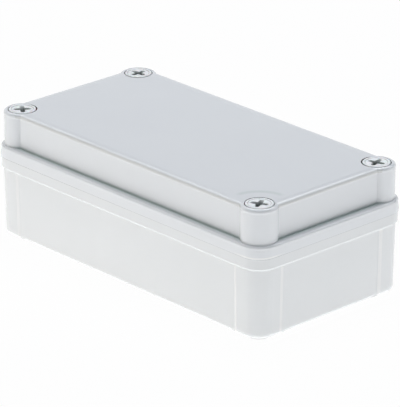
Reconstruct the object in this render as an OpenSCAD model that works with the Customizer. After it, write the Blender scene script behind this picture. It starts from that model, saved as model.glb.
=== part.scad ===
// Plain-walled plastic junction box: a base, a cover, a sealing cord and four cover screws.
// Lengths are millimetres. The box stands on its feet at z = 0, centred on the z axis, its length along x.
// A size that ends in "out" is measured outwards from the screw lines, the rectangle that joins the screw axes.

/* [Box] */
// Distance between the screw axes along the length
screw_span_x = 141; // [100:1:240]
// Distance between the screw axes along the width
screw_span_y = 64; // [50:1:160]
// Height of the joint between base and cover
joint_h = 35; // [30:0.5:90]
// How far the lip at the joint stands out beside the walls
lip_out = 8.88; // [8.88:0.01:9]
// How far the lip stands out at the middle of a corner
lip_corner_out = 9.16; // [9.1:0.02:9.4]
// Height of the lip on each side of the joint
lip_h = 0.4; // [0.2:0.05:0.8]
// Height of the cover above the joint
cover_h = 20; // [18:0.5:40]

/* [Base] */
// How far the corner posts stand out under the rim
post_out_top = 8.05; // [7.6:0.05:8.3]
// How far the corner posts stand out above the rounding of their lower edge
post_out_foot = 7.5; // [6.9:0.05:7.6]
// How far a corner post reaches along the wall from its screw axis
post_reach = 4.8; // [4:0.1:8]
// How far the wall panels lie back from the corner posts
panel_recess = 0.4; // [0.2:0.05:0.8]
// Length of the slope from a corner post down to the panel
post_slope = 1.3; // [0.4:0.1:2]
// Rounding of the walls' lower edge
wall_edge_r = 2.2; // [0.5:0.1:2.8]
// Height of the feet under the corner posts
foot_h = 0.5; // [0.4:0.1:2]
// Radius of the feet
foot_r = 4.9; // [4.5:0.1:6]
// How far the rim stands out
rim_out = 8.84; // [8.6:0.02:8.86]
// Height of the rim below the joint
rim_h = 4.8; // [4:0.1:8]
// Rounding of the rim's lower edge
rim_edge_r = 0.7; // [0.2:0.1:1]
// How far the inner face of the walls stands out
cavity_out = 4.1; // [2.5:0.1:4.4]
// Thickness of the floor
floor_t = 2.9; // [1.5:0.1:4]
// Wall left between a corner pocket and the inside
pocket_wall = 2.8; // [1.5:0.1:4]
// How far a corner pocket turns past the inner quarter, in degrees
pocket_turn = 15; // [0:1:20]

/* [Cover] */
// How far the cover's walls stand out
wall_out = 5.6; // [4.6:0.05:5.8]
// Thickness of the cover's walls
wall_t = 2.5; // [1.5:0.1:3]
// Thickness of the cover's top
top_t = 2.6; // [1.5:0.1:4]
// Radius of the screw columns
column_r = 7.6; // [7:0.1:8]
// Radius of the round bead along the top edge
bead_r = 1.3; // [0.8:0.05:1.8]
// How far that bead stands proud of the walls and columns
bead_proud = 0.12; // [0.1:0.01:0.3]
// Height of the ledge above the joint
ledge_h = 5.3; // [4:0.1:8]
// Thickness of the ledge
ledge_t = 2; // [1.2:0.1:3]
// How far the flange stands out
flange_out = 8.8; // [8.3:0.02:8.84]
// Thickness of the flange's skirt
skirt_t = 1.5; // [1:0.1:1.6]
// Radius of the bead round the ledge
ledge_bead_r = 1; // [0.4:0.05:1.2]
// How far that bead stands proud of the flange
ledge_bead_proud = 0.1; // [0.05:0.01:0.3]

/* [Seal] */
// Thickness of the cover's sealing blade
blade_t = 1.2; // [0.8:0.1:1.6]
// How far the blade reaches below the joint
blade_dip = 1.5; // [0.8:0.1:2.5]
// Clear gap between a screw column and the blade round it
seal_gap = 4; // [3.5:0.1:6]
// Inner radius of the bends where the blade leaves a straight wall
blade_bend_r = 2; // [1:0.1:3]
// Clearance on each side of the blade in the base's groove
groove_clear = 0.3; // [0.2:0.05:0.5]
// Thickness of the sealing cord in the groove
gasket_t = 2; // [1:0.1:3]

/* [Cover screws] */
// Radius of the hole for the screw head
head_hole_r = 6; // [5.8:0.05:6.4]
// Chamfer of that hole's edge
head_hole_chamfer = 0.1; // [0.05:0.05:0.4]
// Radius of the screw head
head_r = 5.65; // [5:0.05:5.7]
// Height of the screw head
head_h = 4.5; // [3.5:0.1:6]
// How far the head's raised edge stands above the top of the cover
head_proud = 0.1; // [0:0.05:0.5]
// Rounding of the head's upper edge
head_edge_r = 0.25; // [0.1:0.05:0.6]
// Width of the raised edge round the head's face
head_ring_w = 1.25; // [0.7:0.05:1.4]
// Depth of the head's face below its raised edge
head_dish = 0.15; // [0.1:0.05:0.6]
// Thickness of the seat under the head
seat_t = 2.5; // [1.5:0.1:4]
// Radius of the screw's neck
neck_r = 3.2; // [2.5:0.05:3.4]
// Clearance round the neck in its seat
neck_clear = 0.3; // [0.2:0.05:0.5]
// Radius over the screw's thread
thread_r = 4; // [3.6:0.05:4.4]
// Length of the thread
thread_l = 12; // [8:0.5:16]
// How far the screw reaches below the joint
screw_reach = 14; // [10:0.5:18]
// Chamfer of the screw's tip
tip_chamfer = 1; // [0.5:0.1:1.5]
// Clearance round the thread in the base
thread_clear = 0.1; // [0.05:0.05:0.2]
// Clearance round the screw in the foot of a column
column_clear = 1.3; // [0.5:0.1:1.5]
// Length of the cross recess, point to point
cross_l = 7.4; // [5:0.1:8]
// Width of the arms of the cross recess
cross_w = 1.5; // [1:0.1:2]
// Depth of the cross recess
cross_depth = 3.2; // [2:0.1:3.5]
// Length of the cross recess at its floor
cross_floor_l = 2.4; // [1.6:0.1:4]
// Radius of the recess's tapered core at the head's face
cross_core_r = 1.5; // [1:0.05:2]
// Turn of the front right screw, in degrees
turn_front_right = 27; // [0:1:89]
// Turn of the back right screw, in degrees
turn_back_right = 18; // [0:1:89]
// Turn of the front left screw, in degrees
turn_front_left = 54; // [0:1:89]
// Turn of the back left screw, in degrees
turn_back_left = 2; // [0:1:89]

/* [Fixings] */
// Radius of the wall fixing holes under the cover screws
fix_hole_r = 2.25; // [1.5:0.05:2.75]
// Height of the web that a fixing screw's head pulls down on
fix_web_h = 3.5; // [2:0.1:5]
// Wall round the bore of a corner post
tube_t = 2.2; // [1.5:0.1:2.5]
// Distance between the inner bosses along the length
boss_span_x = 108; // [40:1:200]
// Distance between the inner bosses along the width
boss_span_y = 48; // [20:1:120]
// Radius of the inner bosses
boss_r = 3.5; // [2.5:0.1:5]
// Height of the inner bosses above the floor
boss_h = 5; // [3:0.5:12]
// Radius of the pilot hole in a boss
pilot_r = 1.25; // [0.8:0.05:1.75]
// Depth of that pilot hole
pilot_depth = 4.5; // [2:0.5:6]

/* [Hidden] */

$fn = 96;
// Room by which a cutter passes the face that it opens
over = 1;

// Heights
top_z = joint_h + cover_h;
rim_z = joint_h - rim_h;
floor_z = foot_h + floor_t;
ledge_z = joint_h + ledge_h;
ledge_under_z = ledge_z - ledge_t;
cover_inside_z = top_z - top_t;
blade_tip_z = joint_h - blade_dip;
groove_z = blade_tip_z - gasket_t;
head_z = top_z + head_proud;
face_z = head_z - head_dish;
seat_z = head_z - head_h;
seat_under_z = seat_z - seat_t;
screw_tip_z = joint_h - screw_reach;
thread_top_z = screw_tip_z + thread_l;

// Lip. Its corners have a smaller radius than the walls', about an axis that lies further out.
lip_shift = (lip_corner_out - lip_out) / (sqrt(2) - 1);
lip_corner_r = lip_out - lip_shift;

// Base walls. The posts' larger rounding brings them nearer to the panels underneath.
post_edge_r = wall_edge_r + panel_recess / 2;
wall_edge_z = foot_h + wall_edge_r;
wall_draft = atan((post_out_top - post_out_foot) / (rim_z - wall_edge_z));
post_block = post_reach + 2 * post_slope;
bore_r = thread_r + thread_clear;
tube_r = bore_r + tube_t;

// Cover
skirt_in_out = flange_out - skirt_t;
wall_in_out = wall_out - wall_t;
column_bore_r = thread_r + column_clear;

// Seal. Its path is straight beside the walls and bends inwards round each screw.
blade_in_out = wall_out;
blade_out_out = blade_in_out + blade_t;
groove_in_out = blade_in_out - groove_clear;
groove_out_out = blade_out_out + groove_clear;

// Radius about a screw axis of the path that runs "out" beside the walls
function path_r(out) = column_r + seal_gap + blade_out_out - out;
// Radius of that path's bends between a wall and the arc round a screw
function path_bend_r(out) = blade_bend_r + out - blade_in_out;
// Length along the wall from the screw axis to the start of a bend
function path_bend_x(out) =
    sqrt(pow(path_r(out) + path_bend_r(out), 2) - pow(out - path_bend_r(out), 2));
// How far the tips beside the bends reach past the screw axis, so that they cover the point where the arcs touch
tip_past = 3;
pocket_r = path_r(cavity_out) - pocket_wall;

// Places its children at the four screw axes, turned so that x and y point outwards
module corners() {
    for (sx = [-1, 1], sy = [-1, 1])
        translate([sx * screw_span_x / 2, sy * screw_span_y / 2, 0])
            mirror([sx < 0 ? 1 : 0, 0, 0])
                mirror([0, sy < 0 ? 1 : 0, 0])
                    children();
}

// Runs a profile along the four sides, between the screw axes
module side_runs() {
    for (s = [0, 1]) {
        mirror([s, 0, 0])
            translate([screw_span_x / 2, 0, 0])
                rotate([90, 0, 0])
                    linear_extrude(screw_span_y, center = true) children();
        mirror([0, s, 0])
            translate([0, screw_span_y / 2, 0])
                rotate([0, 0, 90])
                    rotate([90, 0, 0])
                        linear_extrude(screw_span_x, center = true) children();
    }
}

// Block between the screw axes
module middle(z0, z1) {
    translate([-screw_span_x / 2, -screw_span_y / 2, z0])
        cube([screw_span_x, screw_span_y, z1 - z0]);
}

// Runs a profile right round the screw lines, with round corners, and fills the middle
module round_block(z0, z1) {
    side_runs() children();
    corners() rotate_extrude(angle = 90) children();
    middle(z0, z1);
}

// Slice of a disc between two directions, in degrees
module pie(r, from, to) {
    reach = 2 * r;
    middle_turn = (from + to) / 2;
    intersection() {
        circle(r);
        polygon([
            [0, 0],
            reach * [cos(from), sin(from)],
            reach * [cos(middle_turn), sin(middle_turn)],
            reach * [cos(to), sin(to)]
        ]);
    }
}

// Rectangle that stands "out" from the screw lines
module rectangle_out(out) {
    square([screw_span_x + 2 * out, screw_span_y + 2 * out], center = true);
}

// Corner that the seal's path leaves out of its rectangle: a disc round the screw and the sharp tips beside it
module path_corner(out) {
    bend_r = path_bend_r(out);
    bend_x = path_bend_x(out);
    bend_y = out - bend_r;
    circle(path_r(out));
    square(out + over);
    for (turn = [0, 1])
        mirror([turn, -turn, 0])
            difference() {
                polygon([[0, -tip_past], [0, out + over], [-bend_x, out + over], [-bend_x, out], [-bend_x, bend_y]]);
                translate([-bend_x, bend_y]) circle(bend_r);
            }
}

// Everything inside the seal's path that runs "out" beside the walls
module path_inside(out) {
    difference() {
        rectangle_out(out);
        corners() path_corner(out);
    }
}

// Band between two such paths
module path_band(out_inner, out_outer) {
    difference() {
        path_inside(out_outer);
        path_inside(out_inner);
    }
}

// Section of a base wall: it stands out by foot_out above its rounded edge, and leans out from there to the rim
module base_wall_section(foot_out, edge_r) {
    centre_x = foot_out - edge_r;
    edge_z = foot_h + edge_r;
    polygon([
        [0, foot_h],
        [centre_x, foot_h],
        [centre_x, edge_z],
        [foot_out, edge_z],
        [foot_out + (rim_z - edge_z) * tan(wall_draft), rim_z],
        [0, rim_z]
    ]);
    translate([centre_x, edge_z]) pie(edge_r, -90, 0);
}

module post_section() {
    base_wall_section(post_out_foot, post_edge_r);
}

module panel_section() {
    base_wall_section(post_out_foot - panel_recess, wall_edge_r);
}

// Outline of the lip that runs round the joint
module lip_outline() {
    square([screw_span_x + 2 * lip_out, screw_span_y + 2 * lip_shift], center = true);
    square([screw_span_x + 2 * lip_shift, screw_span_y + 2 * lip_out], center = true);
    corners() translate([lip_shift, lip_shift]) pie(lip_corner_r, 0, 90);
}

// Section of the rim
module rim_section() {
    polygon([
        [0, rim_z],
        [rim_out - rim_edge_r, rim_z],
        [rim_out - rim_edge_r, rim_z + rim_edge_r],
        [rim_out, rim_z + rim_edge_r],
        [rim_out, joint_h],
        [0, joint_h]
    ]);
    translate([rim_out - rim_edge_r, rim_z + rim_edge_r]) pie(rim_edge_r, -90, 0);
}

// Stretch of a corner post along one wall, sloped down to the panel at its far end
module post_arm() {
    difference() {
        rotate([90, 0, 0]) linear_extrude(post_block) post_section();
        translate([post_out_foot, -post_reach, wall_edge_z])
            rotate([0, wall_draft, 0])
                translate([0, 0, -wall_edge_z - over])
                    linear_extrude(rim_z + 2 * over)
                        polygon(3 * [
                            [panel_recess, post_slope],
                            [panel_recess, -post_slope],
                            [-panel_recess, -post_slope]
                        ]);
    }
}

// One corner post, with its foot
module post() {
    rotate_extrude(angle = 90) post_section();
    post_arm();
    mirror([1, -1, 0]) post_arm();
    translate([-post_block, -post_block, foot_h]) cube([post_block, post_block, rim_z - foot_h]);
    cylinder(r = foot_r, h = foot_h + floor_t / 2);
}

// What is cut out of one corner of the base: the screw's bore, the fixing hole and the pocket under the seal
module base_corner_cuts() {
    translate([0, 0, fix_web_h]) cylinder(r = bore_r, h = joint_h);
    translate([0, 0, -over]) cylinder(r = fix_hole_r, h = fix_web_h + 2 * over);
    rotate([0, 0, 180 - pocket_turn])
        rotate_extrude(angle = 90 + 2 * pocket_turn)
            translate([tube_r, -over]) square([pocket_r - tube_r, rim_z + over]);
}

// Stand-offs on the floor, for a mounting plate or a circuit board
module bosses() {
    for (sx = [-1, 1], sy = [-1, 1])
        translate([sx * boss_span_x / 2, sy * boss_span_y / 2, floor_z])
            difference() {
                translate([0, 0, -floor_t / 2]) cylinder(r = boss_r, h = floor_t / 2 + boss_h);
                translate([0, 0, boss_h - pilot_depth]) cylinder(r = pilot_r, h = pilot_depth + over);
            }
}

module base() {
    color("#e6e8e7") {
        difference() {
            union() {
                side_runs() panel_section();
                middle(foot_h, rim_z);
                corners() post();
                round_block(rim_z, joint_h) rim_section();
                translate([0, 0, joint_h - lip_h]) linear_extrude(lip_h) lip_outline();
            }
            translate([0, 0, floor_z]) linear_extrude(joint_h) path_inside(cavity_out);
            translate([0, 0, groove_z]) linear_extrude(joint_h) path_band(groove_in_out, groove_out_out);
            corners() base_corner_cuts();
        }
        bosses();
    }
}

// Sealing cord, which fills the floor of the base's groove
module gasket() {
    color("#8d9392")
        translate([0, 0, groove_z])
            linear_extrude(gasket_t) path_band(groove_in_out, groove_out_out);
}

// Section of the flange, with its beaded ledge
module flange_section() {
    bead_x = flange_out + ledge_bead_proud - ledge_bead_r;
    polygon([
        [0, joint_h],
        [flange_out, joint_h],
        [flange_out, ledge_z - ledge_bead_r],
        [bead_x, ledge_z - ledge_bead_r],
        [bead_x, ledge_z],
        [0, ledge_z]
    ]);
    translate([bead_x, ledge_z - ledge_bead_r]) circle(ledge_bead_r);
}

// Section of an upright face of the cover that stands "out", with the bead round the top edge
module upright_section(out) {
    bead_x = out + bead_proud - bead_r;
    polygon([
        [0, ledge_under_z],
        [out, ledge_under_z],
        [out, top_z - bead_r],
        [bead_x, top_z - bead_r],
        [bead_x, top_z],
        [0, top_z]
    ]);
    translate([bead_x, top_z - bead_r]) circle(bead_r);
}

// What is cut out of one screw column: the hole for the head, the neck's hole and the wide foot
module column_cuts() {
    rotate_extrude()
        polygon([
            [0, joint_h - over],
            [column_bore_r, joint_h - over],
            [column_bore_r, seat_under_z],
            [neck_r + neck_clear, seat_under_z],
            [neck_r + neck_clear, seat_z],
            [head_hole_r, seat_z],
            [head_hole_r, top_z - head_hole_chamfer],
            [head_hole_r + head_hole_chamfer, top_z],
            [head_hole_r + head_hole_chamfer, top_z + over],
            [0, top_z + over]
        ]);
}

// Sealing blade: it hangs from the ledge beside the walls and from the top round the screws
module blade() {
    translate([0, 0, blade_tip_z])
        linear_extrude(ledge_under_z + ledge_t / 2 - blade_tip_z)
            path_band(blade_in_out, blade_out_out);
    translate([0, 0, blade_tip_z])
        linear_extrude(cover_inside_z + top_t / 2 - blade_tip_z)
            intersection() {
                path_band(blade_in_out, blade_out_out);
                rectangle_out(wall_in_out + wall_t / 2);
            }
}

module cover() {
    color("#dfe2e3")
        difference() {
            union() {
                difference() {
                    union() {
                        round_block(joint_h, ledge_z) flange_section();
                        translate([0, 0, joint_h]) linear_extrude(lip_h) lip_outline();
                        side_runs() upright_section(wall_out);
                        middle(ledge_under_z, top_z);
                        corners() rotate_extrude() upright_section(column_r);
                    }
                    translate([0, 0, joint_h - over])
                        linear_extrude(ledge_under_z - joint_h + over)
                            difference() {
                                union() {
                                    square([screw_span_x + 2 * skirt_in_out, screw_span_y], center = true);
                                    square([screw_span_x, screw_span_y + 2 * skirt_in_out], center = true);
                                }
                                corners() circle(column_r);
                            }
                    translate([0, 0, joint_h - over])
                        linear_extrude(cover_inside_z - joint_h + over)
                            difference() {
                                rectangle_out(wall_in_out);
                                corners() circle(column_r);
                            }
                }
                blade();
            }
            corners() column_cuts();
        }
}

// Cross recess in a screw's head: two crossed arms and a core, which taper to the floor of the recess
module cross_recess() {
    floor_h = face_z - cross_depth;
    for (turn = [0, 90])
        rotate([0, 0, turn])
            rotate([90, 0, 0])
                linear_extrude(cross_w, center = true)
                    polygon([
                        [-cross_l / 2, head_z + over],
                        [-cross_l / 2, face_z],
                        [-cross_floor_l / 2, floor_h],
                        [cross_floor_l / 2, floor_h],
                        [cross_l / 2, face_z],
                        [cross_l / 2, head_z + over]
                    ]);
    rotate_extrude()
        polygon([[0, floor_h], [cross_w / 2, floor_h], [cross_core_r, face_z], [cross_core_r, head_z], [0, head_z]]);
}

// Cover screw: a dished head, a slim neck that stays captive in its seat, and a thread
module cover_screw(sx, sy, turn) {
    color("#eef0f2")
        translate([sx * screw_span_x / 2, sy * screw_span_y / 2, 0])
            rotate([0, 0, turn])
                difference() {
                    rotate_extrude() {
                        polygon([
                            [0, screw_tip_z],
                            [thread_r - tip_chamfer, screw_tip_z],
                            [thread_r, screw_tip_z + tip_chamfer],
                            [thread_r, thread_top_z],
                            [neck_r, thread_top_z + thread_r - neck_r],
                            [neck_r, seat_z],
                            [head_r, seat_z],
                            [head_r, head_z - head_edge_r],
                            [head_r - head_edge_r, head_z - head_edge_r],
                            [head_r - head_edge_r, head_z],
                            [head_r - head_ring_w + head_dish / 2, head_z],
                            [head_r - head_ring_w, face_z],
                            [0, face_z]
                        ]);
                        translate([head_r - head_edge_r, head_z - head_edge_r]) pie(head_edge_r, 0, 90);
                    }
                    cross_recess();
                }
}

module screw_front_right() {
    cover_screw(1, -1, turn_front_right);
}

module screw_back_right() {
    cover_screw(1, 1, turn_back_right);
}

module screw_front_left() {
    cover_screw(-1, -1, turn_front_left);
}

module screw_back_left() {
    cover_screw(-1, 1, turn_back_left);
}

base();
cover();
gasket();
screw_front_right();
screw_back_right();
screw_front_left();
screw_back_left();
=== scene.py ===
# %% [markdown]
# Junction box
#
# A small moulded enclosure for wire joints: a base, an inset cover that four plastic screws hold down,
# and a soft sealing cord between the two. The solids come in as a fixed frame, so this lesson is about
# what Blender adds: the camera, the light, the plastics and the small turned details.

# %% The frame
import math

import bmesh
import bpy
from mathutils import Matrix, Vector


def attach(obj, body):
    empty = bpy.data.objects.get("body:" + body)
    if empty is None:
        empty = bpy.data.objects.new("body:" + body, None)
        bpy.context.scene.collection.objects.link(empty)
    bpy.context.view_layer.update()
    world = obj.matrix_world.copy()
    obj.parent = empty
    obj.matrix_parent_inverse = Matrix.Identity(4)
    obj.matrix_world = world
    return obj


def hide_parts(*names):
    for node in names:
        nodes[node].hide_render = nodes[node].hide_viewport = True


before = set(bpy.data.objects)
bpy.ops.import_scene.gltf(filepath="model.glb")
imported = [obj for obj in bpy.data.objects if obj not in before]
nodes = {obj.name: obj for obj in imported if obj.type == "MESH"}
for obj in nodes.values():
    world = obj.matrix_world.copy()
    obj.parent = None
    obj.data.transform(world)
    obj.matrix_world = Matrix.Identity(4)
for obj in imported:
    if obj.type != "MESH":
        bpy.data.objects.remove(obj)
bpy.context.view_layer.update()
MM = 0.001
print("solids:", sorted(nodes))


# %% [markdown]
# Camera
#
# The picture was taken from far away with a long lens: the box's parallel edges hardly meet. A camera was
# fitted to the four screw holes and the long edges, and its numbers are used here as they came out.
# The lens is set against the picture's width, so the view is the same whatever the render size.

# %% The camera
PICTURE_WIDTH = 400
FOCAL_PIXELS = 3587
SENSOR_MM = 36
AZIMUTH, ELEVATION = 47.2, 22.02    # degrees; azimuth 0 looks along +Y
DISTANCE = 1455 * MM
TARGET = Vector((2.37, 0, 25.87)) * MM
NEAR, FAR = 0.05, 20                # metres

scene = bpy.context.scene


def set_up(thing, azimuth, elevation, distance):
    """Puts a camera or a lamp into the scene, at a distance from the target and looking at it."""
    a, e = math.radians(azimuth), math.radians(elevation)
    back = Vector((math.sin(a) * math.cos(e), -math.cos(a) * math.cos(e), math.sin(e)))
    thing.location = TARGET + back * distance
    thing.rotation_euler = (-back).to_track_quat("-Z", "Y").to_euler()
    scene.collection.objects.link(thing)


camera_data = bpy.data.cameras.new("camera")
camera_data.sensor_fit = "HORIZONTAL"
camera_data.sensor_width = SENSOR_MM
camera_data.lens = FOCAL_PIXELS / PICTURE_WIDTH * SENSOR_MM
camera_data.clip_start, camera_data.clip_end = NEAR, FAR
camera = bpy.data.objects.new("camera", camera_data)
set_up(camera, AZIMUTH, ELEVATION, DISTANCE)
scene.camera = camera
scene.view_settings.view_transform = "Standard"
print("lens:", round(camera_data.lens, 1), "mm")


# %% [markdown]
# Helpers
#
# Colours are written as the hex values that a screen shows, and one function turns them into the linear
# values that the shaders work in. A second function adds a shader node with its settings and its links.
# Of a node's outputs only those that its settings use are switched on, so a whole node can be handed on as
# an input and stands for the first of these.

# %% Colours and shader nodes
COLOURS = {"data_type": "RGBA"}                     # for a Mix node
SMOOTH = {"interpolation_type": "SMOOTHSTEP"}       # for a Map Range node


def linear(hex_colour):
    """sRGB hex text to a linear RGBA colour."""
    channels = [int(hex_colour[i:i + 2], 16) / 255 for i in (1, 3, 5)]
    return [c / 12.92 if c <= 0.04045 else ((c + 0.055) / 1.055) ** 2.4 for c in channels] + [1]


def add(tree, kind, settings=None, **inputs):
    """Adds a shader node. An input is a value, or a node or one of its outputs, which is linked to it."""
    node = tree.nodes.new("ShaderNode" + kind)
    for name, value in (settings or {}).items():
        setattr(node, name, value)
    for name, value in inputs.items():
        key = int(name[1:]) if name[0] == "i" and name[1:].isdigit() else name.replace("_", " ")
        if isinstance(value, bpy.types.Node):
            value = next(output for output in value.outputs if output.enabled)
        if isinstance(value, bpy.types.NodeSocket):
            tree.links.new(value, node.inputs[key])
        else:
            node.inputs[key].default_value = value
    return node


def new_material(name):
    """An empty material, with its node tree."""
    material = bpy.data.materials.new(name)
    material.use_nodes = True
    material.node_tree.nodes.clear()
    return material, material.node_tree


def dress(piece, material):
    """Gives a piece one material."""
    piece.data.materials.clear()
    piece.data.materials.append(material)


print("white is", linear("#ffffff"))


# %% [markdown]
# Floor and light
#
# The picture is a catalogue shot on white. The floor is a white sheet that the camera, and anything glossy,
# sees as white, while part of its plain shading is kept so that the box's shadow stays on it.
# Such pictures are often taken on a luminous table, and this one was lit that way: the walls take most of
# their light from below, so an edge that turns down is bright, and the corner above the ledge, where the
# table can't be seen, is dark. A soft lamp almost straight above lights the top, and two weak ones far to
# the sides fill the walls.
# Satin plastic is also a dull mirror. Behind the box the white sheet ends at about the height of a table
# edge, so the rounded edges mirror a dark gap above it, and then three narrow strip lamps, which draw the
# thin bright lines along the edges. The strips are for the mirror only: they throw no light on the walls.

# %% The floor
FLOOR_SIZE = 3.0            # metres
FLOOR_DROP_MM = 0.02
FLOOR_WHITE = 0.97          # how much of the sheet is seen as plain white; the rest keeps the shadow

bpy.ops.mesh.primitive_plane_add(size=FLOOR_SIZE, location=(0, 0, -FLOOR_DROP_MM * MM))
floor = bpy.context.active_object
floor.name = "floor"
sheet_white, tree = new_material("white paper sheet")
rays = add(tree, "LightPath")
seen = add(tree, "Math", {"operation": "MAXIMUM"},
           i0=rays.outputs["Is Camera Ray"], i1=rays.outputs["Is Glossy Ray"])
seen = add(tree, "Math", {"operation": "MAXIMUM"}, i0=seen, i1=rays.outputs["Is Transmission Ray"])
share = add(tree, "Math", {"operation": "MULTIPLY"}, i0=seen, i1=FLOOR_WHITE)
paper = add(tree, "BsdfDiffuse", Color=linear("#f4f4f4"))
glow = add(tree, "Emission", Color=linear("#ffffff"), Strength=1.0)
mixed = add(tree, "MixShader", Fac=share, i1=paper, i2=glow)
add(tree, "OutputMaterial", Surface=mixed)
dress(floor, sheet_white)
print(floor.name, "of", sheet_white.name)

# %% The room
SHEET_END = (24, 32)        # where the white sheet behind the box ends, in degrees above the floor
ROOM_LIGHT = 0.02

world = bpy.data.worlds.new("studio")
scene.world = world
world.use_nodes = True
tree = world.node_tree
tree.nodes.clear()
rays = add(tree, "LightPath")
way = add(tree, "TexCoord").outputs["Generated"]
height = add(tree, "SeparateXYZ", Vector=way).outputs["Z"]
sheet_from, sheet_to = (math.sin(math.radians(angle)) for angle in SHEET_END)
sheet = add(tree, "MapRange", SMOOTH, Value=height, From_Min=sheet_from, From_Max=sheet_to,
            To_Min=1.0, To_Max=0.0)
mirrored = add(tree, "Math", {"operation": "MULTIPLY"}, i0=rays.outputs["Is Glossy Ray"], i1=sheet)
seen = add(tree, "Math", {"operation": "MAXIMUM"},
           i0=rays.outputs["Is Camera Ray"], i1=rays.outputs["Is Transmission Ray"])
seen = add(tree, "Math", {"operation": "MAXIMUM"}, i0=seen, i1=mirrored)
room = add(tree, "Background", Color=linear("#ffffff"), Strength=ROOM_LIGHT)
white = add(tree, "Background", Color=linear("#ffffff"), Strength=1.0)
mixed = add(tree, "MixShader", Fac=seen, i1=room, i2=white)
add(tree, "OutputWorld", Surface=mixed)
print("room:", world.name)


# %% The lamps
TABLE_LAMP_MM = 0.3         # the table's light starts just above the floor


def soft_lamp(name, at, size, watts, colour="#ffffff"):
    """A soft lamp: its azimuth and elevation in degrees and its distance, and its width and height."""
    data = bpy.data.lights.new(name, "AREA")
    data.shape = "RECTANGLE"
    data.size, data.size_y = size
    data.energy = watts
    data.color = linear(colour)[:3]
    lamp = bpy.data.objects.new(name, data)
    lamp.visible_camera = False
    set_up(lamp, *at)
    return lamp


soft_lamp("lamp_above", (222, 84, 1.1), (1.2, 1.2), 12.4, "#f2f7ff")
long_side = soft_lamp("lamp_long_side", (-54, 12, 1.2), (0.9, 0.9), 3.1, "#fff4e2")
short_side = soft_lamp("lamp_short_side", (172, 12, 1.2), (0.9, 0.9), 1.0, "#fbfcff")
table = soft_lamp("lamp_table", (0, -90, 1.0), (2.4, 2.4), 19.8)
table.location = (0, 0, TABLE_LAMP_MM * MM)
for fill in (long_side, short_side, table):
    fill.visible_glossy = False
strips = [soft_lamp("strip_right", (198, 50, 1.1), (1.8, 0.4), 7.5),
          soft_lamp("strip_left", (276, 43, 1.1), (1.0, 0.4), 2.0),
          soft_lamp("strip_corner", (221, 47, 1.1), (0.4, 0.4), 3.2)]
for strip in strips:
    strip.visible_diffuse = False


# %% [markdown]
# Marks at the joint and on the base
#
# Small marks break up the flat colour of a moulded part. They could be painted on a picture that is wrapped
# round the box, but each lies where the object's own coordinates can tell. So a mark here is a mask worked
# out from heights and distances, with the colour that it lays over the plastic.
# The joint is a fine dark line. Above it the lip's crest is painted lighter towards the front corner, and so
# are the edges of the base's posts, which stand a little proud of the panels between them: both are painted
# highlights.

# %% Marks at the joint
SEAM_MM = (35.0, 0.05)          # height and half width of the dark line
SEAM_DARKENS_MM = (20, -72)     # it darkens from here to here along the long side
SEAM_LEAST = 0.55               # its share where it is palest
CREST_HIGHLIGHT_MM = (35.55, 0.27)        # height and half width of the painted highlight on the lip's crest
CREST_SHINES_MM = (106, 112)    # it comes up from here to here towards the front corner, told by x - y


def joint_marks(tree, place):
    """The joint's dark line, and the painted highlight on the lip's crest at the front corner, as masks with
    their colours.
    """
    parts = add(tree, "SeparateXYZ", Vector=place)
    to_front = add(tree, "Math", {"operation": "SUBTRACT"}, i0=parts.outputs["X"], i1=parts.outputs["Y"])
    marks = []
    # the seam is a dark joint line; the crest is a painted highlight
    for (level, half), along, (start, end), least, colour in (
            (SEAM_MM, parts.outputs["X"], SEAM_DARKENS_MM, SEAM_LEAST, "#8c9190"),
            (CREST_HIGHLIGHT_MM, to_front, CREST_SHINES_MM, 0.0, "#efefed")):
        line = add(tree, "Math", {"operation": "COMPARE"},
                   i0=parts.outputs["Z"], i1=level * MM, i2=half * MM)
        share = add(tree, "MapRange", Value=along, From_Min=start * MM, From_Max=end * MM, To_Min=least)
        marks.append((add(tree, "Math", {"operation": "MULTIPLY"}, i0=line, i1=share), colour))
    return marks


print("joint line at", SEAM_MM[0], "mm")

# %% Marks on the base's posts
# the posts' edges, lightened as painted highlights
POST_EDGES_MM = (               # along which axis, place, half width, and the wall that it is on
    ("X", 65.3, 0.7, "Y", 38.5),
    ("Y", 27.15, 0.8, "X", 77.0),
)
RIM_FOOT_MM = 30.0              # the posts end where the rim begins


def base_marks(tree, place):
    """Painted highlights along the edges of the posts, as a mask with its colour. The base has no dents."""
    aside = add(tree, "VectorMath", {"operation": "ABSOLUTE"}, i0=place)
    parts = add(tree, "SeparateXYZ", Vector=aside)
    edges = []
    for along, middle, half, across, wall in POST_EDGES_MM:
        line = add(tree, "Math", {"operation": "COMPARE"},
                   i0=parts.outputs[along], i1=middle * MM, i2=half * MM)
        outside = add(tree, "Math", {"operation": "GREATER_THAN"}, i0=parts.outputs[across], i1=wall * MM)
        edges.append(add(tree, "Math", {"operation": "MULTIPLY"}, i0=line, i1=outside))
    either = add(tree, "Math", {"operation": "MAXIMUM"}, i0=edges[0], i1=edges[1])
    below = add(tree, "Math", {"operation": "LESS_THAN"}, i0=parts.outputs["Z"], i1=RIM_FOOT_MM * MM)
    edge = add(tree, "Math", {"operation": "MULTIPLY"}, i0=either, i1=below)
    # a painted highlight on the posts' edges
    return [(edge, "#e8e8e7")], []


print("edges of the posts:", [(along, middle) for along, middle, *_ in POST_EDGES_MM])


# %% [markdown]
# Marks on the cover
#
# Under the cover's rounded top edge a band is darkened as painted shade, and inside that edge the top is
# dished, because the plastic shrank as it cooled. Over a rib beneath it shrank too, which shows as a faint
# arc beside the nearest screw. Painted shade also darkens the corner at the foot of the wall, and the gap in
# the screw holes on the side towards the middle.
# All of these lie at a distance from a screw's axis, so that distance is worked out first. The dish and the
# arc are also dents. They are far too shallow to show in an outline, so bump is enough for them.

# %% Distances from the screws
SCREW_LINE_MM = (70.5, 32.0)    # the screws' axes lie this far from the middle, to both sides
DIAGONAL = math.sqrt(0.5)       # each part of a step of length 1 that goes slantwise to the middle


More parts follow.
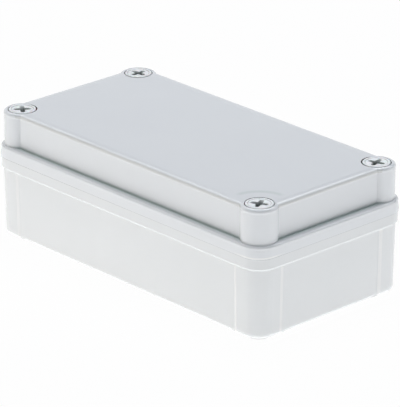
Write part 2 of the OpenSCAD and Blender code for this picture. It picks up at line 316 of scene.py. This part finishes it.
def off_axis(tree, place, side_y=1):
    """The level way from the axis of a screw at +X to a place, and its length."""
    away = add(tree, "VectorMath", {"operation": "SUBTRACT"}, i0=place,
               i1=(SCREW_LINE_MM[0] * MM, side_y * SCREW_LINE_MM[1] * MM, 0))
    away = add(tree, "VectorMath", {"operation": "MULTIPLY"}, i0=away, i1=(1, 1, 0))
    return away, add(tree, "VectorMath", {"operation": "LENGTH"}, i0=away)


def off_nearest_axis(tree, place):
    """The same from the nearest of the four screws, as if it were the one at +X and +Y."""
    return off_axis(tree, add(tree, "VectorMath", {"operation": "ABSOLUTE"}, i0=place))


def towards_middle(tree, away, to_middle, start, full):
    """A mask of the side that looks to the middle. It grows between the cosines of two angles."""
    way = add(tree, "VectorMath", {"operation": "NORMALIZE"}, i0=away)
    cosine = add(tree, "VectorMath", {"operation": "DOT_PRODUCT"}, i0=way, i1=to_middle)
    return add(tree, "MapRange", SMOOTH, Value=cosine, From_Min=start, From_Max=full)


print("screws at", SCREW_LINE_MM, "mm")

# %% Marks along the cover's edge
WALL_OUT_MM, COLUMN_R_MM = 5.6, 7.6     # the wall and the columns stand this far out from the axes
RIM_DISH_MM = (1.0, 3.3)                # the dish begins and ends this far inside the edge
RIM_DISH_DEPTH_MM = 0.15
LEDGE_MM, CORNER_SHADE_MM = 40.3, 1.5           # height of the wall's foot, and how far up the painted shade in the corner above the ledge reaches
CORNER_SHADE_ON_LEDGE = 0.72                    # it reaches further on the ledge than up the wall
EDGE_SHADE_MM = (54.0, 0.6)                   # height and half width of the painted shade under the rounded top edge
EDGE_SHADE_REACH_MM = 1.2                     # the painted shade stays this close to the wall


def edge_marks(tree, place, away, radius):
    """Painted shade in the corner at the wall's foot and under the rounded top edge, with their colours, and
    the dish inside the edge.
    """
    height = add(tree, "SeparateXYZ", Vector=place).outputs["Z"]
    beyond = add(tree, "VectorMath", {"operation": "MAXIMUM"}, i0=away, i1=(0, 0, 0))
    out = add(tree, "VectorMath", {"operation": "LENGTH"}, i0=beyond)
    to_wall = add(tree, "Math", {"operation": "SUBTRACT"}, i0=WALL_OUT_MM * MM, i1=out)
    to_column = add(tree, "Math", {"operation": "SUBTRACT"}, i0=COLUMN_R_MM * MM, i1=radius)
    to_edge = add(tree, "Math", {"operation": "MAXIMUM"}, i0=to_wall, i1=to_column)
    dish = add(tree, "MapRange", SMOOTH, Value=to_edge,
               From_Min=RIM_DISH_MM[0] * MM, From_Max=RIM_DISH_MM[1] * MM)
    off_wall = add(tree, "Math", {"operation": "ABSOLUTE"}, i0=to_wall)
    above = add(tree, "Math", {"operation": "SUBTRACT"}, i0=height, i1=LEDGE_MM * MM)
    on_ledge = add(tree, "Math", {"operation": "MULTIPLY"}, i0=off_wall, i1=CORNER_SHADE_ON_LEDGE)
    off_foot = add(tree, "Math", {"operation": "MAXIMUM"}, i0=on_ledge, i1=above)
    # painted shade in the corner between the wall and the ledge
    foot = add(tree, "MapRange", SMOOTH, Value=off_foot, From_Max=CORNER_SHADE_MM * MM, To_Min=1.0, To_Max=0.0)
    # painted shade on the lower half of the rounded top edge
    band = add(tree, "Math", {"operation": "COMPARE"}, i0=height, i1=EDGE_SHADE_MM[0] * MM, i2=EDGE_SHADE_MM[1] * MM)
    on_wall = add(tree, "Math", {"operation": "LESS_THAN"}, i0=off_wall, i1=EDGE_SHADE_REACH_MM * MM)
    band = add(tree, "Math", {"operation": "MULTIPLY"}, i0=band, i1=on_wall)
    return [(foot, "#c4cfcd"), (band, "#d6d7d5")], dish


print("band at", EDGE_SHADE_MM[0], "mm, corner_shade from", LEDGE_MM, "mm up")

# %% Marks round the screw holes
HOLE_EDGE_MM = 6.2
HOLE_SHADE_SIDE = (0.3, 0.8)         # cosines of the angles at which the painted shade begins and is full
SINK_MM = (12.2, 2.2)           # radius of the arc round the front right screw, and where it has faded
SINK_DEPTH_MM = 0.03
SINK_ENDS = (52, 34)            # degrees to both sides at which the arc begins and is full


def hole_shade(tree, away, radius):
    """Painted shade in the gap of the screw holes, on the side towards the middle."""
    in_hole = add(tree, "Math", {"operation": "LESS_THAN"}, i0=radius, i1=HOLE_EDGE_MM * MM)
    inner_side = towards_middle(tree, away, (-DIAGONAL, -DIAGONAL, 0), *HOLE_SHADE_SIDE)
    return add(tree, "Math", {"operation": "MULTIPLY"}, i0=in_hole, i1=inner_side)


def sink_arc(tree, place):
    """The faint arc over the rib beside the front right screw."""
    away, radius = off_axis(tree, place, side_y=-1)
    off_rib = add(tree, "Math", {"operation": "SUBTRACT"}, i0=radius, i1=SINK_MM[0] * MM)
    off_rib = add(tree, "Math", {"operation": "ABSOLUTE"}, i0=off_rib)
    near_rib = add(tree, "MapRange", SMOOTH, Value=off_rib, From_Max=SINK_MM[1] * MM,
                   To_Min=1.0, To_Max=0.0)
    ends = (math.cos(math.radians(angle)) for angle in SINK_ENDS)
    along = towards_middle(tree, away, (-DIAGONAL, DIAGONAL, 0), *ends)
    return add(tree, "Math", {"operation": "MULTIPLY"}, i0=near_rib, i1=along)


def cover_marks(tree, place):
    """All marks on the cover with their colours, and its dents: relief, depth, and whether it sinks."""
    away, radius = off_nearest_axis(tree, place)
    marks, dish = edge_marks(tree, place, away, radius)
    sink = sink_arc(tree, place)
    # the first mark is painted shade in the holes' gap
    marks += [(hole_shade(tree, away, radius), "#454846"), (sink, "#d0d6d5")]
    return marks, [(dish, RIM_DISH_DEPTH_MM, False), (sink, SINK_DEPTH_MM, True)]


print("sink arc of", SINK_MM[0], "mm radius")


# %% [markdown]
# Moulded ABS
#
# Base and cover are injection moulded from light grey ABS. The mould's faces were polished and then lightly
# spark-textured, which leaves a satin skin: the eye gets broad soft highlights and a very fine grain, and
# faint clouds of tone where the melt flowed. One function makes both plastics, because they differ only in
# tone, in gloss and in their marks. Noise in the object's own coordinates gives grain and clouds.

# %% The moulded plastic
GRAIN_MM = 0.7              # finer on the real part; drawn this coarse so that it shows in the render
GRAIN_DEPTH_MM = 0.006
CLOUD_MM = 38
GLOSS_SPREAD = 0.04
ABS_IOR = 1.54


def moulded_abs(name, colour, cloud_colour, roughness, piece_marks):
    """Satin light grey ABS with fine grain and faint flow clouds, and the marks and dents of its piece."""
    material, tree = new_material(name)
    place = add(tree, "TexCoord").outputs["Object"]
    clouds = add(tree, "TexNoise", Vector=place, Scale=1 / (CLOUD_MM * MM), Detail=3.0, Roughness=0.55)
    grain = add(tree, "TexNoise", Vector=place, Scale=1 / (GRAIN_MM * MM), Detail=2.0, Roughness=0.6)
    tone = add(tree, "Mix", COLOURS, i0=clouds, i6=linear(colour), i7=linear(cloud_colour))
    gloss = add(tree, "MapRange", Value=grain,
                To_Min=roughness - GLOSS_SPREAD, To_Max=roughness + GLOSS_SPREAD)
    skin = add(tree, "Bump", Strength=1.0, Distance=GRAIN_DEPTH_MM * MM, Height=grain)
    marks, dents = piece_marks(tree, place)
    for mask, mark_colour in joint_marks(tree, place) + marks:
        tone = add(tree, "Mix", COLOURS, i0=mask, i6=tone, i7=linear(mark_colour))
    for relief, depth, sinks in dents:
        skin = add(tree, "Bump", {"invert": sinks}, Strength=1.0, Distance=depth * MM,
                   Height=relief, Normal=skin)
    plastic = add(tree, "BsdfPrincipled", Base_Color=tone, Roughness=gloss, IOR=ABS_IOR, Normal=skin)
    add(tree, "OutputMaterial", Surface=plastic)
    return material


base_abs = moulded_abs("light grey moulded ABS, base", "#e2e3e3", "#dddfdf", 0.22, base_marks)
cover_abs = moulded_abs("light grey moulded ABS, cover", "#e2e4e5", "#dddfe1", 0.14, cover_marks)
dress(nodes["base"], base_abs)
dress(nodes["cover"], cover_abs)
print("moulded plastics:", base_abs.name, "and", cover_abs.name)


# %% [markdown]
# The flange's flare
#
# Towards the joint the cover's flange flares out into the lip, most of all at the corners, and turns in again
# just above the joint. The flare is less than half a millimetre deep, so it is laid over the solid as a skin
# between three rounded rectangles.

# %% The flare
FLARE_MM = (                # out from the screws' axes, out at the corners, height
    (8.8, 8.8, 39.3),
    (8.895, 9.25, 35.55),
    (8.885, 9.165, 35.05),
)
CORNER_STEPS = 24


def rounded_rectangle(bm, out, corner_out, height):
    """A rounded rectangle of vertices round the screws, which may stand out further at its corners."""
    loop = []
    shift = (corner_out - out) / (math.sqrt(2) - 1)
    for corner, (side_x, side_y) in enumerate(((1, 1), (-1, 1), (-1, -1), (1, -1))):
        for step in range(CORNER_STEPS + 1):
            turn = math.radians(90 * (corner + step / CORNER_STEPS))
            loop.append(bm.verts.new((
                side_x * (SCREW_LINE_MM[0] + shift) + (out - shift) * math.cos(turn),
                side_y * (SCREW_LINE_MM[1] + shift) + (out - shift) * math.sin(turn), height)))
    return loop


def skin_rings(bm, lower, upper, material=0):
    """Faces between two rings with as many vertices."""
    for i in range(len(lower)):
        j = (i + 1) % len(lower)
        bm.faces.new((lower[i], lower[j], upper[j], upper[i])).material_index = material


def smooth_mesh(bm, name):
    """Turns a form in millimetres into a smooth mesh in metres."""
    bmesh.ops.scale(bm, vec=(MM, MM, MM), verts=bm.verts)
    for face in bm.faces:
        face.smooth = True
    mesh = bpy.data.meshes.new(name)
    bm.to_mesh(mesh)
    bm.free()
    return mesh


bm = bmesh.new()
levels = [rounded_rectangle(bm, *level) for level in FLARE_MM]
for upper, lower in zip(levels, levels[1:]):
    skin_rings(bm, lower, upper)
flare = bpy.data.objects.new("cover_flare", smooth_mesh(bm, "cover_flare"))
scene.collection.objects.link(flare)
dress(flare, cover_abs)
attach(flare, "cover")
print(flare.name, len(flare.data.polygons), "faces")


# %% [markdown]
# Sealing cord
#
# The cord in the base's groove is foamed polyurethane, poured in place: soft, dull and full of tiny bubbles.
# It shows only when the cover is lifted. A fine cell pattern dents it, and there is almost no shine.

# %% The sealing cord
BUBBLE_MM = 0.5
BUBBLE_DEPTH_MM = 0.08

foam, tree = new_material("foamed polyurethane sealing cord")
place = add(tree, "TexCoord").outputs["Object"]
bubbles = add(tree, "TexVoronoi", Vector=place, Scale=1 / (BUBBLE_MM * MM))
tone = add(tree, "Mix", COLOURS, i0=bubbles, i6=linear("#6d7271"), i7=linear("#8f9594"))
dents = add(tree, "Bump", Strength=0.6, Distance=BUBBLE_DEPTH_MM * MM, Height=bubbles)
rubber = add(tree, "BsdfPrincipled", Base_Color=tone, Roughness=0.85, IOR=1.5, Normal=dents)
add(tree, "OutputMaterial", Surface=rubber)
dress(nodes["gasket"], foam)
print("sealing cord:", foam.name)


# %% [markdown]
# Cover screws
#
# The screws are moulded from polyamide. Their dished heads lie about level with the cover.
# The solids have a plain shank, so each screw is made again here with its coarse thread and a cross recess
# with rounded arms. The thread could be cut with a boolean, which is slow and leaves poor faces. Instead one
# pitch of its outline is wound up by the Screw modifier, cut flat at both ends and turned down at the tip.

# %% The screw's thread
ROUND_STEPS = 64
NECK_R_MM, CREST_R_MM, PITCH_MM = 3.2, 4.0, 2.6
TIP_MM, THREAD_TOP_MM, TIP_CHAMFER_MM = 21.0, 33.0, 1.0
FLANK, LAND = 0.32, 0.12            # shares of the pitch: each slope of the thread, and its flat crest
MERGE_MM, WELD_MM = 0.001, 0.002


def thread_strip():
    """One pitch of the thread's outline as an object, wound up by a modifier."""
    flank, land = FLANK * PITCH_MM, LAND * PITCH_MM
    outline = [(NECK_R_MM, 0), (NECK_R_MM, PITCH_MM - 2 * flank - land),
               (CREST_R_MM, PITCH_MM - flank - land), (CREST_R_MM, PITCH_MM - flank), (NECK_R_MM, PITCH_MM)]
    mesh = bpy.data.meshes.new("thread outline")
    mesh.from_pydata([(r, 0, z + TIP_MM - PITCH_MM) for r, z in outline],
                     [(i, i + 1) for i in range(len(outline) - 1)], [])
    strip = bpy.data.objects.new("thread outline", mesh)
    scene.collection.objects.link(strip)
    winding = strip.modifiers.new("winding", "SCREW")
    winding.steps = winding.render_steps = ROUND_STEPS
    winding.screw_offset = PITCH_MM
    winding.iterations = math.ceil((THREAD_TOP_MM - TIP_MM) / PITCH_MM) + 2
    winding.use_merge_vertices = True
    winding.merge_threshold = MERGE_MM
    return strip


def wound_thread():
    """The threaded part in millimetres, cut flat at both ends and chamfered there."""
    strip = thread_strip()
    wound = bpy.data.meshes.new_from_object(strip.evaluated_get(bpy.context.evaluated_depsgraph_get()))
    bm = bmesh.new()
    bm.from_mesh(wound)
    bpy.data.objects.remove(strip)
    bmesh.ops.remove_doubles(bm, verts=bm.verts, dist=WELD_MM)
    for height, keep_up in ((TIP_MM, True), (THREAD_TOP_MM, False)):
        cut = bmesh.ops.bisect_plane(
            bm, geom=bm.verts[:] + bm.edges[:] + bm.faces[:], plane_co=(0, 0, height),
            plane_no=(0, 0, 1), clear_inner=keep_up, clear_outer=not keep_up)
        edges = [e for e in cut["geom_cut"] if isinstance(e, bmesh.types.BMEdge)]
        bmesh.ops.edgenet_fill(bm, edges=edges)
    for vertex in bm.verts:
        reach = math.hypot(vertex.co.x, vertex.co.y)
        tip_limit = CREST_R_MM - TIP_CHAMFER_MM + (vertex.co.z - TIP_MM)
        top_limit = NECK_R_MM + (THREAD_TOP_MM - vertex.co.z)
        limit = min(reach, tip_limit, top_limit)
        if reach > 0 and limit < reach:
            vertex.co.x *= limit / reach
            vertex.co.y *= limit / reach
    bmesh.ops.recalc_face_normals(bm, faces=bm.faces)
    return bm


print("thread of", PITCH_MM, "mm pitch")

# %% The screw's head and neck
HEAD_TOP_MM, HEAD_H_MM, HEAD_R_MM = 55.1, 4.5, 5.65
HEAD_EDGE_MM, EDGE_STEPS = 0.25, 5      # rounding of the head's upper edge
HEAD_CHAMFER_MM = 0.15                  # of its lower edge
NECK_CONE_MM = 0.4                      # from the neck to the head
NECK_LAP_MM = 0.5                       # the neck starts this far inside the thread
NECK_ROOM_MM = 0.01                     # and is this much thinner than its root
RING_W_MM, DISH_MM = 1.25, 0.15         # the raised edge, and how deep the dished face lies inside it
STEP_MM = ((0.26, 0.0), (0.17, 0.05), (0.04, 0.1), (-0.04, DISH_MM))    # the step inside: out, down
FACE_MM = HEAD_TOP_MM - DISH_MM


def head_outline():
    """Radius and height of the neck and the head, from the thread up to the dished face."""
    seat = HEAD_TOP_MM - HEAD_H_MM
    neck = NECK_R_MM - NECK_ROOM_MM
    outline = [(neck, THREAD_TOP_MM - NECK_LAP_MM), (neck, seat - NECK_CONE_MM),
               (NECK_R_MM + NECK_CONE_MM, seat), (HEAD_R_MM - HEAD_CHAMFER_MM, seat),
               (HEAD_R_MM, seat + HEAD_CHAMFER_MM)]
    for step in range(EDGE_STEPS + 1):
        bend = math.radians(90 * step / EDGE_STEPS)
        outline.append((HEAD_R_MM - HEAD_EDGE_MM + HEAD_EDGE_MM * math.cos(bend),
                        HEAD_TOP_MM - HEAD_EDGE_MM + HEAD_EDGE_MM * math.sin(bend)))
    inner = HEAD_R_MM - RING_W_MM
    return outline + [(inner + out, HEAD_TOP_MM - down) for out, down in STEP_MM]


def ring(bm, radius, height):
    """A circle of vertices round the screw's axis."""
    turns = (2 * math.pi * i / ROUND_STEPS for i in range(ROUND_STEPS))
    return [bm.verts.new((radius * math.cos(t), radius * math.sin(t), height)) for t in turns]


print("head of", 2 * HEAD_R_MM, "mm across")

# %% The cross recess
CROSS_L_MM, CROSS_FLOOR_L_MM = 7.4, 2.4     # length across two arms, at the mouth and at the floor
CROSS_W_MM, CROSS_TAPER = 1.8, 0.25         # width of an arm, and how much narrower it is at the floor
CORE_MM, CORE_FLOOR_MM = 1.35, 0.75         # where the corners between the arms are cut off
CROSS_DEPTH_MM, CROSS_POINT_MM = 3.2, 0.4
CROSS_LEVELS = ((0.0, 0.12), (0.02, 0.04), (0.06, 0.0), (1.0, 0.0))     # share of the depth, flare in mm
ARM_STEPS = 8


def cross_outline(bm, half_length, half_width, core, height):
    """One level of the recess: four round-ended arms, with the corners between them cut off."""
    points = []
    end = half_length - half_width
    for arm in range(4):
        turn = Matrix.Rotation(math.pi / 2 * arm, 2)
        points.append(turn @ Vector((core, -half_width)))
        for step in range(ARM_STEPS + 1):
            bend = math.radians(180 * step / ARM_STEPS - 90)
            points.append(turn @ Vector((end + half_width * math.cos(bend), half_width * math.sin(bend))))
        points.append(turn @ Vector((core, half_width)))
    return [bm.verts.new((p.x, p.y, height)) for p in points]


def cross_recess(bm):
    """The recess's walls and pointed floor, which take the second material. Gives its mouth."""
    crosses = []
    for share, wider in CROSS_LEVELS:
        length = CROSS_L_MM + (CROSS_FLOOR_L_MM - CROSS_L_MM) * share
        width = CROSS_W_MM * (1 - CROSS_TAPER * share)
        core = CORE_MM + (CORE_FLOOR_MM - CORE_MM) * share
        crosses.append(cross_outline(bm, length / 2 + wider, width / 2 + wider, core + wider,
                                     FACE_MM - CROSS_DEPTH_MM * share))
    for upper, lower in zip(crosses, crosses[1:]):
        skin_rings(bm, lower, upper, material=1)
    point = bm.verts.new((0, 0, FACE_MM - CROSS_DEPTH_MM - CROSS_POINT_MM))
    for i, corner in enumerate(crosses[-1]):
        bm.faces.new((crosses[-1][i - 1], corner, point)).material_index = 1
    return crosses[0]


print("recess", CROSS_DEPTH_MM, "mm deep")

# %% The whole screw
SHARP_ANGLE = 32


def screw_mesh(name):
    """A whole cover screw round the Z axis: thread, neck, head and recess."""
    bm = wound_thread()
    rings = [ring(bm, *level) for level in head_outline()]
    bm.faces.new(list(reversed(rings[0])))
    for lower, upper in zip(rings, rings[1:]):
        skin_rings(bm, lower, upper)
    mouth = cross_recess(bm)
    edges = [bm.edges.get((loop[i], loop[i - 1])) for loop in (rings[-1], mouth) for i in range(len(loop))]
    bmesh.ops.triangle_fill(bm, edges=edges, use_beauty=True, normal=(0, 0, 1))
    bmesh.ops.recalc_face_normals(bm, faces=bm.faces)
    mesh = smooth_mesh(bm, name)
    mesh.set_sharp_from_angle(angle=math.radians(SHARP_ANGLE))
    return mesh


print("a screw's edges stay sharp from", SHARP_ANGLE, "degrees")


# %% [markdown]
# Moulded polyamide
#
# Polyamide is slightly milky: it lets a little light in below its surface, so the screws look softer and
# a touch whiter than the box. A small subsurface share gives that, and a fine grain keeps the heads from
# looking polished. A thin grey ring of painted shade darkens the step inside the head's raised edge.
# The recess is dull, and painted shade makes it darker the deeper it goes, with a fine speckle.

# %% The polyamide
PA_GRAIN_MM, PA_GRAIN_DEPTH_MM = 0.6, 0.008     # coarser than on the real part, so that it shows
PA_IOR = 1.53
STEP_SHADE_MM = 0.15                             # half the width of the ring of painted shade in the step
# how deep the recess's painted shade reaches, and the share of random speckle in it
SHADE_DEPTH_MM, SPECKLE = 1.6, 0.3

polyamide, tree = new_material("light grey moulded polyamide")
place = add(tree, "TexCoord").outputs["Object"]
grain = add(tree, "TexNoise", Vector=place, Scale=1 / (PA_GRAIN_MM * MM), Detail=2.0)
tone = add(tree, "Mix", COLOURS, i0=grain, i6=linear("#dddfdf"), i7=linear("#e6e8e8"))
radius = off_nearest_axis(tree, place)[1]
# painted shade in the step inside the raised edge
step_shade = add(tree, "Math", {"operation": "COMPARE"}, i0=radius,
           i1=(HEAD_R_MM - RING_W_MM + STEP_SHADE_MM) * MM, i2=STEP_SHADE_MM * MM)
tone = add(tree, "Mix", COLOURS, i0=step_shade, i6=tone, i7=linear("#b6b9b8"))
gloss = add(tree, "MapRange", Value=grain, To_Min=0.36, To_Max=0.46)
skin = add(tree, "Bump", Strength=1.0, Distance=PA_GRAIN_DEPTH_MM * MM, Height=grain)
milky = add(tree, "BsdfPrincipled", Base_Color=tone, Roughness=gloss, IOR=PA_IOR,
            Subsurface_Weight=0.12, Subsurface_Scale=0.6 * MM, Normal=skin)
add(tree, "OutputMaterial", Surface=milky)
print("screws:", polyamide.name)

# %% The recess, with painted shade
recess_pa, tree = new_material("polyamide recess with painted shade")
place = add(tree, "TexCoord").outputs["Object"]
height = add(tree, "SeparateXYZ", Vector=place).outputs["Z"]
# painted shade: the recess grows darker the deeper it goes
less_shade = add(tree, "MapRange", SMOOTH, Value=height,
            From_Min=(FACE_MM - SHADE_DEPTH_MM) * MM, From_Max=FACE_MM * MM)
speckle = add(tree, "TexNoise", Vector=place, Scale=1 / (PA_GRAIN_MM * MM), Detail=3.0)
shade = add(tree, "Math", {"operation": "MULTIPLY_ADD"}, i0=speckle, i1=SPECKLE, i2=less_shade)
shade = add(tree, "Math", {"operation": "SUBTRACT", "use_clamp": True}, i0=shade, i1=SPECKLE / 2)
tone = add(tree, "Mix", COLOURS, i0=shade, i6=linear("#6a706d"), i7=linear("#cfd2d0"))
recess_shading = add(tree, "BsdfPrincipled", Base_Color=tone, Roughness=0.55, IOR=PA_IOR)
add(tree, "OutputMaterial", Surface=recess_shading)
print("recess:", recess_pa.name)

# %% The screws in place
SCREWS = {                  # the side of the box in x and in y, and the turn of the recess in degrees
    "screw_front_right": (1, -1, 27),
    "screw_back_right": (1, 1, 18),
    "screw_front_left": (-1, -1, 54),
    "screw_back_left": (-1, 1, 2),
}

for node, (side_x, side_y, turn) in SCREWS.items():
    mesh = screw_mesh(node + "_threaded")
    where = Vector((side_x * SCREW_LINE_MM[0], side_y * SCREW_LINE_MM[1], 0)) * MM
    mesh.transform(Matrix.Translation(where) @ Matrix.Rotation(math.radians(turn), 4, "Z"))
    screw = bpy.data.objects.new(node + "_threaded", mesh)
    scene.collection.objects.link(screw)
    mesh.materials.append(polyamide)
    mesh.materials.append(recess_pa)
    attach(screw, node)
    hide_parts(node)
    print(screw.name, len(mesh.polygons), "faces")
